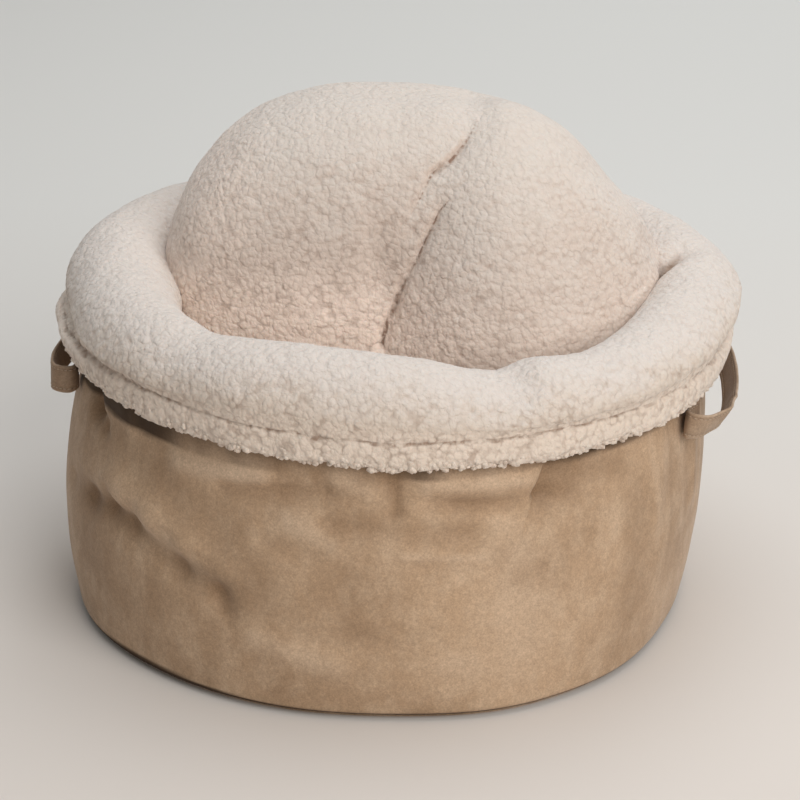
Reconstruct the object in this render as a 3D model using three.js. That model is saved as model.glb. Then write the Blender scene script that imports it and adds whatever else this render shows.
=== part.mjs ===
import * as THREE from 'three';

// A basket-shaped dog bed. Millimetres, +Z up, front towards -Y, standing on its base panel at z = 0.
// Azimuths are degrees: 0 right, 90 back, 180 left, 270 front.

// Driving sizes
const AROUND = 90; // sections round the bed
const GAP = 0.3; // between pieces that touch
const BASE_THICK = 3.7;
const BASE_INSET = 7; // the base panel's edge lies this far inside the wall's foot
const WALL_START = BASE_THICK + GAP;
const BASE_EDGE = 1.5; // bevel of the base panel's edge
const CORNER = 6; // rounding at the foot of the wall
const CORNER_ANGLES = [-90, -50, -20];
const BELLY_Z = 105; // height at which the belly radius is given
const NECK_Z = 225; // height at which the neck radius is given
const WALL_RADIUS = 298; // mean outside radius, to lay out the folds
const FLEECE = 9; // thickness of the fleece with its pile
const WALL_CLEAR = 3; // between the fleece and the stuffed wall
const LINING_FOOT = 226; // radius of the lining's face at the seat
// The cuff's face from its edge up past its line of topstitching: inside the hem radius, above the
// edge, and its share of the flare
const HEM = [
  { inside: 3, up: 0, share: 0 },
  { inside: 0, up: 6, share: 0.4 },
  { inside: 0, up: 17, share: 1 },
  { inside: 3, up: 25, share: 0 },
  { inside: 0, up: 31, share: 0 },
];
const RIM_STEP = 3; // the rim stands out at least this far beyond the cuff's last row below it
const HEM_BELOW_STITCH = 3; // rows of HEM below the topstitching
const RIM_ANGLES = [14, 36, 58, 80, 102, 124, 146, 168]; // from the rim's outer side over its top
const LINING_LEVELS = [215, 110, WALL_START];
const WALL_LEVELS = [26, 48, 70, 90, 110, 130, 150, 168, 186, 204, 222];
const STRAP_WIDE = 26;
const STRAP_THICK = 3;
const STRAP_SEAT = 0.6; // between the strap's ends and the wall's widest place behind them

// Sections round the bed. foot, belly and neck: outside radius of the wall. hem, hemZ: radius and
// height of the cuff's edge. flare: how far the cuff bulges between that edge and its topstitching.
// out, inn: outer and inner radius of the padded rim. top, deep: its height.
const COLUMNS = ['az', 'foot', 'belly', 'neck', 'hem', 'hemZ', 'flare', 'out', 'inn', 'top', 'deep'];
const SECTIONS = [
  [0, 274, 290, 288, 305, 240, 0, 321, 231, 322, 92],
  [30, 280, 290, 288, 304, 240, 0, 310, 233, 324, 92],
  [60, 288, 292, 284, 299, 240, 0, 304, 214, 324, 92],
  [90, 292, 294, 282, 299, 240, 0, 306, 206, 326, 94],
  [120, 294, 296, 284, 300, 242, 1, 306, 205, 328, 94],
  [150, 296, 299, 285, 301, 246, 8, 307, 211, 328, 94],
  [170, 296, 304, 285, 302, 248, 10, 303, 204, 327, 94],
  [190, 297, 306, 284, 301, 248, 6, 297, 193, 325, 96],
  [207, 300, 304, 282, 301, 249, 3, 304, 204, 324, 96],
  [225, 299, 301, 282, 299, 247, 0, 305, 211, 322, 96],
  [250, 299, 300, 285, 300, 240, 0, 303, 206, 325, 101],
  [270, 297, 299, 287, 302, 236, 0, 304, 206, 319, 100],
  [286, 302, 300, 287, 303, 234, 0, 306, 212, 305, 86],
  [292, 302, 299, 287, 303, 233, 0, 307, 216, 301, 79],
  [298, 300, 299, 287, 303, 233, 0, 308, 220, 309, 93],
  [312, 294, 298, 287, 304, 233, 0, 310, 227, 306, 88],
  [335, 277, 292, 288, 305, 236, 0, 317, 226, 316, 92],
].map((row) => Object.fromEntries(row.map((value, k) => [COLUMNS[k], value])));

// Folds of the suede wall, each along a straight line from (az1, z1) to (az2, z2).
// deep is how far it stands out, or in if negative, and wide is its half width.
const FOLDS = [
  { az1: 198, z1: 236, az2: 203, z2: 216, wide: 10, deep: -9 },
  { az1: 203, z1: 216, az2: 208, z2: 208, wide: 9, deep: -6 },
  { az1: 209, z1: 236, az2: 217, z2: 222, wide: 9, deep: 3 },
  { az1: 231, z1: 211, az2: 247, z2: 217, wide: 12, deep: 4 },
  { az1: 240, z1: 200, az2: 259, z2: 211, wide: 9, deep: -4 },
  { az1: 203, z1: 161, az2: 216, z2: 163, wide: 18, deep: 3 },
  { az1: 216, z1: 163, az2: 226, z2: 156, wide: 18, deep: 5 },
  { az1: 226, z1: 156, az2: 234, z2: 144, wide: 18, deep: 5 },
  { az1: 234, z1: 144, az2: 241, z2: 127, wide: 15, deep: 4 },
  { az1: 196, z1: 132, az2: 206, z2: 138, wide: 14, deep: -4 },
  { az1: 206, z1: 138, az2: 214, z2: 143, wide: 14, deep: -5 },
  { az1: 214, z1: 143, az2: 220, z2: 139, wide: 14, deep: -5 },
  { az1: 220, z1: 139, az2: 232, z2: 118, wide: 13, deep: -5 },
  { az1: 232, z1: 118, az2: 241, z2: 104, wide: 14, deep: -4 },
  { az1: 240, z1: 104, az2: 241, z2: 88, wide: 10, deep: -4 },
  { az1: 270, z1: 232, az2: 271, z2: 194, wide: 9, deep: -4 },
  { az1: 276, z1: 219, az2: 293, z2: 214, wide: 10, deep: 6 },
  { az1: 277, z1: 201, az2: 291, z2: 192, wide: 8, deep: -4 },
  { az1: 299, z1: 226, az2: 297, z2: 195, wide: 12, deep: -5 },
  { az1: 297, z1: 195, az2: 291, z2: 186, wide: 10, deep: -4 },
  { az1: 260, z1: 178, az2: 283, z2: 171, wide: 12, deep: -4 },
  { az1: 256, z1: 72, az2: 272, z2: 76, wide: 16, deep: -3 },
  { az1: 324, z1: 205, az2: 322, z2: 140, wide: 14, deep: 3 },
  { az1: 338, z1: 200, az2: 338, z2: 130, wide: 10, deep: 3 },
];

// Pinches across the padded rim, from its outer to its inner side. wide is in degrees, and each
// deepens between two angles over the rim.
const PINCHES = [
  { azOut: 10, azIn: -4, wide: 4.8, deep: 11, from: 40, to: 150 },
  { azOut: 232, azIn: 228, wide: 5, deep: 2.5, from: -90, to: 0 },
];

// The cushion's stuffed masses, which run into one another. x is at the height z, and the mass leans
// from there towards +X with height. full above 2 makes it boxier.
const LOBES = [
  { x: -30, y: 54, z: 246, lean: 0.12, rx: 192, ry: 136, rz: 213, full: 2.6 },
  { x: 111, y: 17, z: 210, lean: -0.07, rx: 168, ry: 163, rz: 243.5, full: 1.82 },
];
const SEAT = { x: 0, y: -10, z: 78, lean: 0, rx: 214, ry: 208, rz: 74, full: 2.4 };
// Valleys down the front of the lobes, seen from the front: the crease between them, then a soft
// trough in the left lobe. They fade out towards the back.
const VALLEYS = [
  [
    { x: 78, z: 455, wide: 18, deep: 6 },
    { x: 46, z: 410, wide: 22, deep: 7 },
    { x: 30, z: 365, wide: 24, deep: 10 },
    { x: 8, z: 317, wide: 26, deep: 11 },
    { x: -8, z: 262, wide: 28, deep: 9 },
  ],
  [
    { x: -18, z: 402, wide: 12, deep: 0 },
    { x: -14, z: 360, wide: 14, deep: 4 },
    { x: -11, z: 318, wide: 14, deep: 4 },
    { x: -8, z: 285, wide: 14, deep: 1 },
  ],
];
const VALLEY_BACK = { from: 60, to: 110 }; // the depth in the bed over which they fade out
const LOBE_BLEND = 34; // softness of the lobes' union
const SEAT_BLEND = 46; // softness of the hollow's curve from seat to lobes
const PRESS_BLEND = 12; // softness of the edge where the lining presses the cushion in
const CUSHION_CLEAR = 5; // between the cushion and the lining
// The cushion's surface is found from inside points that climb from a low one to a high one, as the
// view from them turns from rise to fill degrees above straight down
const HEARTS = { low: [5, 20, 80], high: [20, 62, 270], rise: 55, fill: 130 };
const SEARCH_STEP = 4;
const SEARCH_HALVINGS = 16;
const CUSHION_AROUND = 64;
const CUSHION_ROWS = 36;
const CROWDED = 0.55; // how much closer the rows lie near the rim than at the top and bottom

// Handles. Each row is a point of the strap's middle line: az, off (outside the wall), z and lean,
// the degrees by which its lower edge swings out.
const HANDLE_RIGHT = [
  { az: 338, off: 0, z: 210, lean: 0 },
  { az: 334, off: 0, z: 210, lean: 0 },
  { az: 331.2, off: 5, z: 210, lean: -8 },
  { az: 331, off: 12, z: 208, lean: -18 },
  { az: 333.2, off: 20, z: 206, lean: -26 },
  { az: 339, off: 24, z: 206, lean: -31 },
  { az: 347, off: 22, z: 206, lean: -31 },
  { az: 356, off: 20.5, z: 206, lean: -30 },
  { az: 4, off: 21.5, z: 207, lean: -28 },
  { az: 10, off: 21, z: 208, lean: -22 },
  { az: 13.5, off: 14, z: 210, lean: -12 },
  { az: 14, off: 6, z: 211, lean: -5 },
  { az: 11.5, off: 0, z: 212, lean: 0 },
  { az: 7.5, off: 0, z: 212, lean: 0 },
];
const HANDLE_LEFT = [
  { az: 187, off: 0, z: 222, lean: 0 },
  { az: 190, off: 0, z: 222, lean: 0 },
  { az: 191.5, off: 6, z: 221, lean: 4 },
  { az: 190.5, off: 15, z: 220, lean: 6 },
  { az: 188.6, off: 21.5, z: 220, lean: 4 },
  { az: 185, off: 20.5, z: 220, lean: -6 },
  { az: 178, off: 18, z: 221, lean: -16 },
  { az: 169, off: 17, z: 221, lean: -18 },
  { az: 161, off: 18, z: 221, lean: -16 },
  { az: 154.5, off: 15, z: 220, lean: -8 },
  { az: 152.5, off: 6, z: 220, lean: -2 },
  { az: 155, off: 0, z: 220, lean: 0 },
  { az: 159, off: 0, z: 220, lean: 0 },
];
const STRAP_STEPS = 40;
const STRAP_LOOK = 0.01; // share of the strap over which its direction is taken

const rad = THREE.MathUtils.degToRad;

// Smooth curve through two values with the slopes there, at share t of the way
function hermite(v0, v1, m0, m1, t) {
  const t2 = t * t;
  const t3 = t2 * t;
  return (2 * t3 - 3 * t2 + 1) * v0 + (t3 - 2 * t2 + t) * m0 + (3 * t2 - 2 * t3) * v1 + (t3 - t2) * m1;
}

// A column of SECTIONS at any azimuth, running smoothly round the bed
function around(column, azimuth) {
  const az = ((azimuth % 360) + 360) % 360;
  const count = SECTIONS.length;
  const row = (k) => {
    const turn = Math.floor(k / count);
    const source = SECTIONS[k - turn * count];
    return { az: source.az + 360 * turn, value: source[column] };
  };
  let k = count - 1;
  while (SECTIONS[k].az > az) k -= 1;
  const [a, b, c, d] = [row(k - 1), row(k), row(k + 1), row(k + 2)];
  const width = c.az - b.az;
  const slopeB = ((c.value - a.value) / (c.az - a.az)) * width;
  const slopeC = ((d.value - b.value) / (d.az - b.az)) * width;
  return hermite(b.value, c.value, slopeB, slopeC, (az - b.az) / width);
}

// The turn from one azimuth to another, from -180 to 180 degrees
function turnTo(az, from) {
  return ((((az - from + 180) % 360) + 360) % 360) - 180;
}

// 1 on a line from the origin along a way, falling softly to 0 over its width
function softLine(place, along, wide) {
  const length2 = along[0] ** 2 + along[1] ** 2;
  const share = THREE.MathUtils.clamp((place[0] * along[0] + place[1] * along[1]) / length2, 0, 1);
  const away = Math.hypot(place[0] - share * along[0], place[1] - share * along[1]);
  return Math.exp(-((away / wide) ** 2));
}

// How far the folds push the wall out at a place
function foldOut(az, z) {
  const toMm = rad(1) * WALL_RADIUS;
  let out = 0;
  for (const fold of FOLDS) {
    const along = [(fold.az2 - fold.az1) * toMm, fold.z2 - fold.z1];
    const place = [turnTo(az, fold.az1) * toMm, z - fold.z1];
    out += fold.deep * softLine(place, along, fold.wide);
  }
  return out;
}

// Outside radius of the suede wall below the rim: one curve through foot, belly and neck
function wallRadius(az, z) {
  const foot = around('foot', az);
  const belly = around('belly', az);
  const neck = around('neck', az);
  const atFoot = ((z - BELLY_Z) * (z - NECK_Z)) / (BELLY_Z * NECK_Z);
  const atBelly = (z * (NECK_Z - z)) / (BELLY_Z * (NECK_Z - BELLY_Z));
  const atNeck = (z * (z - BELLY_Z)) / (NECK_Z * (NECK_Z - BELLY_Z));
  return foot * atFoot + belly * atBelly + neck * atNeck + foldOut(az, z);
}

// The padded rim's middle, half width and half height
function rim(az) {
  const out = around('out', az);
  const inn = around('inn', az);
  const high = around('deep', az) / 2;
  return { r: (out + inn) / 2, z: around('top', az) - high, wide: (out - inn) / 2, high };
}

// How far the pinches press the rim in, at an angle from its outer side over its top
function pinchedIn(az, angle) {
  let inset = 0;
  for (const pinch of PINCHES) {
    const across = pinch.azOut + ((pinch.azIn - pinch.azOut) * angle) / 180;
    const share = THREE.MathUtils.smoothstep(angle, pinch.from, pinch.to);
    inset += pinch.deep * share * Math.exp(-((turnTo(az, across) / pinch.wide) ** 2));
  }
  return inset;
}

// A point of the rim at such an angle
function rimPoint(az, angle) {
  const { r, z, wide, high } = rim(az);
  const inset = pinchedIn(az, angle);
  return [r + (wide - inset) * Math.cos(rad(angle)), z + (high - inset) * Math.sin(rad(angle))];
}

// Radius of the lining's face, seen from the hollow
function liningRadius(az, z) {
  const share = THREE.MathUtils.clamp(z / rim(az).z, 0, 1);
  const inn = around('inn', az) + pinchedIn(az, 180);
  return LINING_FOOT + (inn - LINING_FOOT) * share * share;
}

// The fleece's visible face as a line of points: up the cuff, over the rim and down the lining
function fleeceFace(az) {
  const hem = around('hem', az);
  const hemZ = around('hemZ', az);
  const flare = around('flare', az);
  const points = HEM.map((row) => [hem + flare * row.share - row.inside, hemZ + row.up]);
  const last = points[HEM.length - 1];
  last[0] = Math.min(last[0], around('out', az) - RIM_STEP);
  for (const angle of RIM_ANGLES) {
    points.push(rimPoint(az, angle));
  }
  for (const z of LINING_LEVELS) {
    points.push([liningRadius(az, z), z]);
  }
  return points;
}

// The same line moved into the padding by a depth, each point along its own normal
function insideFace(az, depth) {
  const face = fleeceFace(az);
  return face.map(([r, z], k) => {
    const before = face[Math.max(k - 1, 0)];
    const after = face[Math.min(k + 1, face.length - 1)];
    const way = [after[0] - before[0], after[1] - before[1]];
    const length = Math.hypot(...way);
    const foot = k === face.length - 1;
    return foot ? [r + depth, z] : [r - (way[1] / length) * depth, z + (way[0] / length) * depth];
  });
}

// Closed section of the stuffed wall: up its outside, then inside the fleece over the rim and down
function wallSection(az) {
  const points = [];
  for (const angle of CORNER_ANGLES) {
    const z = WALL_START + CORNER + CORNER * Math.sin(rad(angle));
    points.push([wallRadius(az, z) - CORNER + CORNER * Math.cos(rad(angle)), z]);
  }
  for (const z of WALL_LEVELS) {
    points.push([wallRadius(az, z), z]);
  }
  return points.concat(insideFace(az, FLEECE + WALL_CLEAR).slice(HEM_BELOW_STITCH));
}

// Closed section of the fleece sheet: its face from edge to foot, then its back
function cuffSection(az) {
  return fleeceFace(az).concat(insideFace(az, FLEECE).reverse());
}

function material(color, roughness) {
  return new THREE.MeshStandardMaterial({ color, roughness, metalness: 0 });
}

function mesh(name, positions, triangles, surface) {
  const geometry = new THREE.BufferGeometry();
  geometry.setAttribute('position', new THREE.Float32BufferAttribute(positions, 3));
  geometry.setIndex(triangles);
  geometry.computeVertexNormals();
  const piece = new THREE.Mesh(geometry, surface);
  piece.name = name;
  return piece;
}

// A ring of closed sections round the vertical axis
function ring(name, section, surface) {
  const positions = [];
  const triangles = [];
  let count = 0;
  for (let i = 0; i < AROUND; i += 1) {
    const az = (360 * i) / AROUND;
    const points = section(az);
    count = points.length;
    for (const [r, z] of points) {
      positions.push(r * Math.cos(rad(az)), r * Math.sin(rad(az)), z);
    }
  }
  for (let i = 0; i < AROUND; i += 1) {
    for (let j = 0; j < count; j += 1) {
      const near = i * count;
      const far = ((i + 1) % AROUND) * count;
      const up = (j + 1) % count;
      triangles.push(near + j, far + j, far + up, near + j, far + up, near + up);
    }
  }
  return mesh(name, positions, triangles, surface);
}

// A closed body of loops stacked between two end points
function stack(name, first, loops, last, surface) {
  const positions = [...first];
  const triangles = [];
  const count = loops[0].length;
  for (const loop of loops) {
    for (const point of loop) positions.push(...point);
  }
  const top = 1 + loops.length * count;
  positions.push(...last);
  for (let i = 0; i < count; i += 1) {
    const next = (i + 1) % count;
    triangles.push(0, 1 + next, 1 + i);
    for (let j = 0; j + 1 < loops.length; j += 1) {
      const low = 1 + j * count;
      const high = low + count;
      triangles.push(low + i, low + next, high + next, low + i, high + next, high + i);
    }
    triangles.push(top, top - count + i, top - count + next);
  }
  return mesh(name, positions, triangles, surface);
}

// Signed depth in a stuffed mass, about in millimetres: negative inside
function massDepth(shape, x, y, z) {
  const radii = [shape.rx, shape.ry, shape.rz];
  const middle = shape.x + shape.lean * (z - shape.z);
  const place = [x - middle, y - shape.y, z - shape.z].map((d, n) => Math.abs(d) / radii[n]);
  const reach = place.reduce((sum, d) => sum + d ** shape.full, 0) ** (1 / shape.full);
  const slopes = place.map((d, n) => (d / reach) ** (shape.full - 1) / radii[n]);
  return reach < 1e-6 ? -shape.rx : (reach - 1) / Math.hypot(...slopes);
}

function softMin(a, b, blend) {
  const share = THREE.MathUtils.clamp(0.5 + (b - a) / (2 * blend), 0, 1);
  return b + (a - b) * share - blend * share * (1 - share);
}

// Distance from a place in the hollow or above the rim to the fleece's face
function liningDistance(az, r, z) {
  const middle = rim(az);
  if (z < middle.z) return liningRadius(az, z) - r;
  const share = Math.hypot((r - middle.r) / middle.wide, (z - middle.z) / middle.high);
  return (share - 1) * Math.min(middle.wide, middle.high);
}

// How deep the valleys are at a place seen from the front
function valleyDepth(x, z) {
  let depth = 0;
  for (const rows of VALLEYS) {
    let line = 0;
    for (let k = 0; k + 1 < rows.length; k += 1) {
      const [a, b] = [rows[k], rows[k + 1]];
      const along = [b.x - a.x, b.z - a.z];
      const length2 = along[0] ** 2 + along[1] ** 2;
      const place = [x - a.x, z - a.z];
      const share = THREE.MathUtils.clamp((place[0] * along[0] + place[1] * along[1]) / length2, 0, 1);
      const away = Math.hypot(place[0] - share * along[0], place[1] - share * along[1]);
      const wide = a.wide + (b.wide - a.wide) * share;
      const deep = a.deep + (b.deep - a.deep) * share;
      line = Math.max(line, deep * Math.exp(-((away / wide) ** 2)));
    }
    depth += line;
  }
  return depth;
}

// Signed depth in the cushion: lobes and seat together, kept inside the lining and above the base
function cushionDepth(x, y, z) {
  let depth = softMin(massDepth(LOBES[0], x, y, z), massDepth(LOBES[1], x, y, z), LOBE_BLEND);
  depth = softMin(depth, massDepth(SEAT, x, y, z), SEAT_BLEND);
  const az = THREE.MathUtils.radToDeg(Math.atan2(y, x));
  const r = Math.hypot(x, y);
  depth += valleyDepth(x, z) * (1 - THREE.MathUtils.smoothstep(y, VALLEY_BACK.from, VALLEY_BACK.to));
  const limit = Math.max(CUSHION_CLEAR - liningDistance(az, r, z), WALL_START - z);
  return -softMin(-depth, -limit, PRESS_BLEND);
}

// The cushion's surface in one direction, polar degrees above straight down and turned by azimuth
function cushionPoint(polar, azimuth) {
  const climb = THREE.MathUtils.smoothstep(polar, HEARTS.rise, HEARTS.fill);
  const heart = HEARTS.low.map((low, n) => low + (HEARTS.high[n] - low) * climb);
  const flat = Math.sin(rad(polar));
  const way = [flat * Math.cos(rad(azimuth)), flat * Math.sin(rad(azimuth)), -Math.cos(rad(polar))];
  const at = (far) => heart.map((place, n) => place + way[n] * far);
  let far = 0;
  while (cushionDepth(...at(far)) < 0) far += SEARCH_STEP;
  let near = far - SEARCH_STEP;
  for (let k = 0; k < SEARCH_HALVINGS; k += 1) {
    const half = (near + far) / 2;
    if (cushionDepth(...at(half)) > 0) far = half;
    else near = half;
  }
  return at(near);
}

function cushion(surface) {
  const loops = [];
  for (let j = 1; j < CUSHION_ROWS; j += 1) {
    const turn = (2 * Math.PI * j) / CUSHION_ROWS;
    const polar = (180 * (turn + CROWDED * Math.sin(turn))) / (2 * Math.PI);
    const loop = [];
    for (let i = 0; i < CUSHION_AROUND; i += 1) {
      loop.push(cushionPoint(polar, (360 * i) / CUSHION_AROUND));
    }
    loops.push(loop);
  }
  return stack('cushion', cushionPoint(0, 0), loops, cushionPoint(180, 0), surface);
}

// Round base panel, a little inside the wall's foot
function basePanel(surface) {
  const loop = (inset, z) => {
    const points = [];
    for (let i = 0; i < AROUND; i += 1) {
      const az = (360 * i) / AROUND;
      const r = around('foot', az) - inset;
      points.push([r * Math.cos(rad(az)), r * Math.sin(rad(az)), z]);
    }
    return points;
  };
  const loops = [
    loop(BASE_INSET + BASE_EDGE, 0),
    loop(BASE_INSET, BASE_THICK / 2),
    loop(BASE_INSET + BASE_EDGE, BASE_THICK),
  ];
  return stack('base_panel', [0, 0, 0], loops, [0, 0, BASE_THICK], surface);
}

// A strap along a handle's rows, with a rectangular section and closed ends
function strap(name, rows, surface) {
  const turned = (az) => (az > 180 && rows[0].az > 270 ? az - 360 : az);
  const line = (pick) => new THREE.SplineCurve(rows.map((row, k) => new THREE.Vector2(k, pick(row))));
  const curves = {
    az: line((row) => turned(row.az)),
    off: line((row) => row.off),
    z: line((row) => row.z),
    lean: line((row) => row.lean),
  };
  const middle = (t) => {
    const az = curves.az.getPoint(t).y;
    const off = Math.max(curves.off.getPoint(t).y, 0);
    const z = curves.z.getPoint(t).y;
    const reach = [-0.5, 0, 0.5].map((share) => wallRadius(az, z + share * STRAP_WIDE));
    const r = Math.max(...reach) + STRAP_SEAT + STRAP_THICK / 2 + off;
    return new THREE.Vector3(r * Math.cos(rad(az)), r * Math.sin(rad(az)), z);
  };
  const loops = [];
  for (let k = 0; k <= STRAP_STEPS; k += 1) {
    const t = k / STRAP_STEPS;
    const centre = middle(t);
    const ahead = middle(Math.min(t + STRAP_LOOK, 1)).sub(middle(Math.max(t - STRAP_LOOK, 0)));
    ahead.setZ(0).normalize();
    const face = new THREE.Vector3(ahead.y, -ahead.x, 0);
    const outward = new THREE.Vector3(centre.x, centre.y, 0).normalize();
    const lean = rad(curves.lean.getPoint(t).y);
    const across = new THREE.Vector3(0, 0, Math.cos(lean)).addScaledVector(outward, -Math.sin(lean));
    const normal = new THREE.Vector3().crossVectors(across, ahead).normalize();
    if (normal.dot(face) < 0) normal.negate();
    const corner = (u, v) => {
      const point = centre.clone().addScaledVector(normal, (u * STRAP_THICK) / 2);
      return point.addScaledVector(across, (v * STRAP_WIDE) / 2).toArray();
    };
    loops.push([corner(1, -1), corner(-1, -1), corner(-1, 1), corner(1, 1)]);
  }
  const centreOf = (loop) => [0, 1, 2].map((n) => loop.reduce((sum, p) => sum + p[n], 0) / loop.length);
  return stack(name, centreOf(loops[0]), loops, centreOf(loops[loops.length - 1]), surface);
}

const suede = material(0xa8917a, 0.75);
const strapSuede = material(0x9c8369, 0.7);
const fleece = material(0xe2d6cc, 0.95);
const cushionFleece = material(0xdfd0c5, 0.95);
const baseCloth = material(0x8d7862, 0.85);

const group = new THREE.Group();
group.add(basePanel(baseCloth));
group.add(ring('side_wall', wallSection, suede));
group.add(ring('fleece_cuff', cuffSection, fleece));
group.add(cushion(cushionFleece));
group.add(strap('handle_right', HANDLE_RIGHT, strapSuede));
group.add(strap('handle_left', HANDLE_LEFT, strapSuede.clone()));

export default group;
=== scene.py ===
import math

import bmesh
import bpy
import numpy as np
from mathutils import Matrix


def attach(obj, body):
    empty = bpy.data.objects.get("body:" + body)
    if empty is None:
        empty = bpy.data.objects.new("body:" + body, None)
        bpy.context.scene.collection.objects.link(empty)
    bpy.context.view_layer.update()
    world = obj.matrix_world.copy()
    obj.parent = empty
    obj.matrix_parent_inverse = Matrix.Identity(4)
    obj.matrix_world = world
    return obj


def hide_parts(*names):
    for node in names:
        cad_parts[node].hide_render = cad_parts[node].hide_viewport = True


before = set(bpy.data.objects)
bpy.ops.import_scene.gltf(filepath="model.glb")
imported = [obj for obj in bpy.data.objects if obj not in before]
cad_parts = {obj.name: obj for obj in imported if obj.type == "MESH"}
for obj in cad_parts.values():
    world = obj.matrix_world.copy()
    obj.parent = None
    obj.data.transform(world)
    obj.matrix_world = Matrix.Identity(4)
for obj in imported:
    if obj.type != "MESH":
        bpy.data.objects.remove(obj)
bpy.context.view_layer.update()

# A basket-shaped dog bed. The tables are in millimetres and degrees: azimuth (az) 0 right, 90 back,
# 180 left, 270 front. Meshes are made in millimetres and turned into metres at the end.
MM = 0.001
FAR = 99.0
GAP = 0.3
BASE_THICK = 3.7
WALL_START = BASE_THICK + GAP
CORNER = 6.0
BELLY_Z = 105.0
NECK_Z = 225.0
WALL_RADIUS = 298.0
FLEECE = 9.0
WALL_CLEAR = 3.0
RIM_STEP = 3.0
LINING_FOOT = 226.0
RIM_ANGLES = [14, 36, 58, 80, 102, 124, 146, 168]
LINING_LEVELS = [240, 215, 160, 110, 60, WALL_START]
# The padding's side of the fleece follows fewer rows, without the hem's detail
PADDING_HEM = [(3, 25, 0), (0, 31, 0)]
PADDING_LEVELS = [215, 110, WALL_START]
STRAP_WIDE = 26.0
STRAP_THICK = 3.0
STRAP_SEAT = 0.6


def table(names, rows):
    values = np.array(rows, float)
    return {name: values[:, k] for k, name in enumerate(names.split())}


# Sections of the bed: radii of the wall's foot, belly and neck and of the hem, the hem's height and
# flare, the rim's outer and inner radius, its top and how deep its padded roll is
SECTIONS = table(
    "az foot belly neck hem hem_z flare out inn top deep",
    [
        [0, 274, 290, 288, 309, 240, 6, 321, 231, 322, 92],
        [30, 280, 290, 288, 305, 240, 2, 310, 233, 324, 92],
        [60, 288, 292, 284, 299, 240, 0, 304, 214, 324, 92],
        [90, 292, 294, 282, 299, 240, 0, 306, 206, 326, 94],
        [120, 294, 296, 284, 300, 242, 1, 306, 205, 328, 94],
        [150, 296, 299, 285, 301, 246, 8, 309, 211, 331, 96],
        [170, 296, 304, 285, 302, 248, 10, 306, 204, 331, 97],
        [190, 297, 306, 284, 301, 250, 6, 297, 193, 326, 96],
        [207, 300, 304, 282, 301, 252, 3, 304, 204, 324, 96],
        [225, 299, 301, 282, 299, 249, 0, 305, 211, 322, 96],
        [250, 299, 300, 285, 300, 242, 0, 303, 206, 325, 101],
        [270, 297, 299, 287, 302, 238, 0, 304, 206, 319, 100],
        [286, 302, 300, 287, 303, 236, 0, 306, 212, 305, 86],
        [292, 302, 299, 287, 303, 235, 0, 307, 216, 301, 79],
        [298, 300, 299, 287, 303, 235, 0, 308, 220, 309, 93],
        [312, 294, 298, 287, 304, 235, 0, 310, 227, 306, 88],
        [335, 277, 292, 288, 307, 236, 3, 317, 226, 316, 92],
    ],
)
# Folds of the wall: soft ridges (deep above 0) or troughs along a way from one place to another, their
# half width to its left and right, and how much paler or darker the nap is there: partly the nap's own
# brush marks and wear, partly painted shade in troughs and on the shaded left, and painted light on
# ridges and on broad lit areas
FOLDS = table(
    "az1 z1 az2 z2 left right deep nap",
    [
        [198, 236, 203, 216, 8, 11, -9, -0.5],
        [203, 216, 208, 208, 6, 10, -6, -0.4],
        [209, 236, 217, 222, 10, 8, 3, 0.1],
        [231, 211, 247, 217, 13, 11, 4, 0.5],
        [240, 200, 259, 211, 7, 9, -4, -0.35],
        [203, 160, 216, 162, 24, 14, 3, 0.08],
        [216, 162, 226, 155, 24, 14, 5, 0.12],
        [226, 155, 234, 143, 22, 14, 5, 0.14],
        [234, 143, 241, 126, 18, 13, 4, 0.1],
        [196, 132, 206, 138, 12, 16, -4, -0.3],
        [206, 138, 214, 143, 12, 16, -5, -0.45],
        [214, 143, 220, 139, 12, 15, -5, -0.4],
        [213, 205, 224, 198, 22, 22, 0, -0.25],
        [220, 139, 232, 118, 12, 14, -5, -0.3],
        [232, 118, 241, 104, 12, 15, -4, -0.3],
        [240, 104, 241, 88, 12, 8, -4, -0.25],
        [253, 184, 260, 167, 12, 12, 2, 0.35],
        [249, 161, 257, 155, 8, 8, -2, -0.2],
        [247, 70, 261, 50, 13, 13, 2, 0.3],
        [261, 222, 266, 214, 10, 10, 3, 0.25],
        [270.5, 232, 271, 194, 6, 9, -4, -0.45],
        [276, 219, 293, 214, 11, 9, 6, 0.35],
        [277, 201, 291, 192, 6, 8, -4, -0.28],
        [298, 228, 295, 197, 22, 2.5, -7, -0.55],
        [295, 197, 281, 199, 6, 9, -3, -0.3],
        [260, 178, 283, 171, 12, 12, -4, -0.28],
        [272, 157, 285, 151, 4, 5, 2, 0.22],
        [278, 56, 283, 52, 14, 14, 1, 0.25],
        [262, 140, 262, 90, 14, 14, -1, -0.1],
        [256, 72, 272, 76, 16, 16, -3, -0.08],
        [324, 205, 322, 140, 14, 14, 3, 0.1],
        [338, 200, 338, 130, 10, 10, 3, 0.05],
        [290, 160, 291, 60, 38, 38, 0, 0.25],
        [317, 170, 316, 70, 22, 22, 0, -0.28],
        [229, 190, 247, 112, 28, 28, 0, -0.34],
        [321, 225, 323, 110, 5, 5, 0, 0.2],
        [327, 232, 328, 90, 4, 4, 0, -0.24],
        [332, 225, 333, 110, 4, 5, 0, 0.22],
        [337, 225, 339, 110, 4, 4, 0, -0.22],
        [344, 228, 344, 100, 5, 5, 1, 0.22],
        [311, 190, 312, 120, 6, 6, 0, 0.15],
        [303, 214, 312, 205, 16, 16, 0, -0.42],
        [298, 197, 302, 194, 9, 9, -2, -0.3],
        [203, 100, 222, 60, 40, 40, 0, -0.2],
        [200, 200, 208, 90, 34, 34, 0, -0.22],
        [335, 190, 333, 120, 30, 30, 0, -0.12],
    ],
)
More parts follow.
